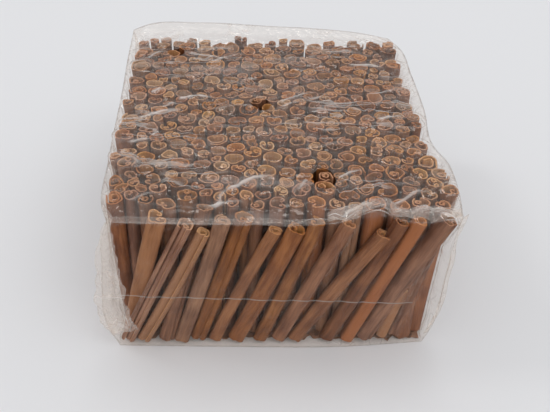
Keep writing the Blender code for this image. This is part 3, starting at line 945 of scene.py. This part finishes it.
# A faint level crease runs across the front, where the flat bag was folded, and sags between the sticks. Its
# thin white line is a painted highlight along the fold.
LINE_FALL = 0.0314
LINE_SAG = 0.80
LINE_PLACE = -0.0437
LINE_HALF_WIDTH = 0.0004
LINE_WHITE = 0.30
level = film_math("MULTIPLY_ADD", axes[0], LINE_FALL, axes[2])
level = film_math("MULTIPLY_ADD", axes[1], LINE_SAG, level)
fold_line = film_math("COMPARE", level, LINE_PLACE, LINE_HALF_WIDTH)
fold_line = film_math("MULTIPLY", fold_line, film_math("LESS_THAN", axes[1], -0.097))
cloudy = film_math("MULTIPLY_ADD", fold_line, LINE_WHITE, cloudy, clamp=True)

# Clear film, with milky haze where it is creased and painted white highlights on its ridges, streaks and
# front fold, under a gloss
MILK = (0.93, 0.88, 0.84, 1.0)
through = film_node("ShaderNodeBsdfTransparent", (("Color", (0.985, 0.970, 0.955, 1.0)),))[0]
scatter = film_node("ShaderNodeBsdfDiffuse", (("Color", MILK),))[0]
glow = film_node("ShaderNodeBsdfTranslucent", (("Color", MILK),))[0]
milk = film_node("ShaderNodeMixShader", ((0, 0.4), (1, scatter), (2, glow)))[0]
gloss = film_node("ShaderNodeBsdfGlossy", (("Color", (1.0, 0.94, 0.88, 1.0)), ("Roughness", 0.11),
                                           ("Normal", film_normal)))[0]
body = film_node("ShaderNodeMixShader", ((0, cloudy), (1, through), (2, milk)))[0]
skin = film_node("ShaderNodeMixShader", ((0, mirror), (1, body), (2, gloss)))[0]
film_node("ShaderNodeOutputMaterial", (("Surface", skin),))


def film_piece(name, shape):
    """A finished piece of the bag's film."""
    piece = new_piece(name, shape)
    piece.data.shade_smooth()
    piece.data.materials.append(clear_film)
    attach(piece, BODY)
    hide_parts(NODE)


film_piece("film_bag", film_shape)


# Folded film at the mouth and the corners
# ----------------------------------------
# The bag's mouth is folded over twice along the top edge at the front, and its gusset stands off at the
# corners as loose double film, crushed and whiter than the single film beside it.

RIM = 0.15                   # how wide a pocket's whiter rim is, as a share of its width
RIM_HAZE = 2.5
DENT_HAZE = 1.4
SWAY = 0.0012


def pocket(name, edge_one, edge_two, face, steps, loft, dent, facet, cloudy, gleam, marks):
    """A flattened tube of film between two edges, puffed by its loft and crushed by its dents."""
    shape = film_box(steps)
    haze_layer = shape.verts.layers.float.new("haze_and_painted_glints")
    shine_layer = shape.verts.layers.float.new("shine")
    painted_streaks_layer = shape.verts.layers.float.new("painted_streaks")
    grid = (np.array([corner.co for corner in shape.verts]) + 1.0) / 2.0
    one, two = along_run(edge_one, grid[:, 0]), along_run(edge_two, grid[:, 0])
    across = grid[:, 1:2]
    place = one * (1.0 - across) + two * across
    face = np.array(face, dtype=float)
    bulge = np.sin(math.pi * across) ** 0.7 * np.sin(math.pi * np.clip(grid[:, 0:1], 0.02, 0.98)) ** 0.3
    place += face * loft * (grid[:, 2:3] - 0.25) * bulge
    waves = crumple(place, facet, (1.0, 1.0, 1.0))
    long_waves = np.array([noise.noise(Vector(point * 90.0)) for point in place])
    place += face * (dent * (waves - 0.3) + dent * 1.5 * long_waves)[:, None]
    sway = np.array([noise.noise(Vector(point * 70.0) + Vector((7.0, 3.0, 1.0))) for point in place])
    outer_way = (two - one) / np.linalg.norm(two - one, axis=1)[:, None]
    place += outer_way * (SWAY * sway * across[:, 0])[:, None]
    border = np.clip(1.0 - np.minimum(across, 1.0 - across)[:, 0] / RIM, 0.0, 1.0)
    for corner, point, wave, edge in zip(shape.verts, place, waves, border):
        corner.co = point
        corner[haze_layer] = cloudy * (1.0 + DENT_HAZE * max(0.0, 0.35 - wave) + RIM_HAZE * edge)
        corner[shine_layer] = gleam
        # marks sets how strongly the material's painted highlight streaks show on this pocket.
        corner[painted_streaks_layer] = marks
    film_piece(name, shape)


# Each pocket: its two edges in millimetres, the way it faces, its steps, its loft, how deep and how large
# its dents are, and its haze, shine and white marks, the marks being painted highlight streaks
pocket("mouth_hem", ((-87, -105.6, 96.2), (-60, -106.4, 96.5), (-20, -106.4, 96.5), (22, -106.0, 97)),
       ((-87, -102.2, 96.8), (-60, -102.8, 97.3), (-20, -103.0, 97.3), (22, -103.2, 97.8)),
       (0, -0.3, 1), (90, 8, 1), 0.0006, 0.0003, 0.006, 0.030, 0.4, 0.3)
pocket("left_gusset",
       ((-86, -105.6, 95.5), (-83.5, -106.6, 74), (-82.6, -106.6, 58), (-81, -106.4, 38), (-78, -105.6, 16)),
       ((-88, -104, 95), (-94.5, -102.5, 74), (-97.5, -102, 50), (-99.5, -102, 29), (-93, -101, 9)),
       (-0.6, -1, 0), (60, 16, 1), 0.0022, 0.0020, 0.008, 0.035, 1.3, 2.2)
pocket("right_gusset",
       ((92, -103, 97), (92, -101, 80), (93, -98, 62), (93.5, -97.5, 44), (92, -98, 22), (88, -98.5, 6)),
       ((97, -99, 97), (94.5, -99, 78), (97, -95, 66), (97.4, -94.5, 44), (96.5, -95, 24), (91, -97, 6)),
       (-0.3, -1, 0), (60, 8, 1), 0.0016, 0.0018, 0.007, 0.035, 1.2, 2.2)
pocket("mouth_flap",
       ((24, -105, 97), (38, -103, 99), (50, -98, 102), (62, -102, 98), (80, -103, 98), (94, -101, 99)),
       ((24, -98, 98), (38, -93, 99.5), (52, -88, 100.5), (64, -92, 99), (80, -95, 99), (95, -93, 99)),
       (0, -0.3, 1), (70, 14, 1), 0.0018, 0.0034, 0.011, 0.02, 1.3, 1.3)


# Table, light and camera
# -----------------------
# A flat pale floor under a light tent, which lights it evenly from all round; the lamps below add light from
# behind, both sides and the front.

FLOOR_SIZE = 12.0

floor_shape = bmesh.new()
bmesh.ops.create_grid(floor_shape, x_segments=1, y_segments=1, size=FLOOR_SIZE / 2.0)
floor = new_piece("pale_floor", floor_shape)
floor.location.z = -0.0002
floor_paper = bpy.data.materials.new("floor_paper")
floor_paper.use_nodes = True
paper_shader = floor_paper.node_tree.nodes["Principled BSDF"]
paper_shader.inputs["Base Color"].default_value = (0.80, 0.80, 0.81, 1.0)
paper_shader.inputs["Roughness"].default_value = 0.6
floor.data.materials.append(floor_paper)

world = bpy.data.worlds.new("light_tent")
bpy.context.scene.world = world
world.use_nodes = True
tent = world.node_tree.nodes["Background"]
tent.inputs["Color"].default_value = (0.97, 0.98, 1.0, 1.0)
tent.inputs["Strength"].default_value = 0.72

# One light hangs above and behind the pack, one high on the left and a broader one on the right. The
# broadest stands in front and reaches in between the leaning sticks.
for name, power, spread, azimuth, elevation in (("back_light", 0.16, 14.0, 80.0, 66.0),
                                                ("left_light", 0.26, 12.0, 165.0, 44.0),
                                                ("right_light", 0.30, 26.0, -40.0, 52.0),
                                                ("front_light", 0.42, 40.0, -98.0, 30.0)):
    lamp = bpy.data.lights.new(name, "SUN")
    lamp.energy = power
    lamp.angle = math.radians(spread)
    stand = bpy.data.objects.new(name, lamp)
    bpy.context.scene.collection.objects.link(stand)
    azimuth, elevation = math.radians(azimuth), math.radians(elevation)
    toward = Vector((math.cos(azimuth) * math.cos(elevation), math.sin(azimuth) * math.cos(elevation),
                     math.sin(elevation)))
    stand.rotation_euler = toward.to_track_quat("Z", "Y").to_euler()

camera_data = bpy.data.cameras.new("view")
camera_data.lens = 48.9
camera_data.sensor_width = 36.0
camera_data.clip_start = 0.01
camera = bpy.data.objects.new("view", camera_data)
bpy.context.scene.collection.objects.link(camera)
azimuth, elevation, roll = (math.radians(value) for value in (-3.5, 38.5, 2.7))
forward = Vector((-math.sin(azimuth) * math.cos(elevation), math.cos(azimuth) * math.cos(elevation),
                  -math.sin(elevation)))
level_right = Vector((math.cos(azimuth), math.sin(azimuth), 0.0))
level_up = level_right.cross(forward)
right = level_right * math.cos(roll) + level_up * math.sin(roll)
up = -level_right * math.sin(roll) + level_up * math.cos(roll)
turned = Matrix((right, up, -forward)).transposed().to_4x4()
camera.matrix_world = Matrix.Translation((-0.0209, -0.3928, 0.3366)) @ turned
bpy.context.scene.camera = camera
bpy.context.scene.view_settings.view_transform = "Standard"
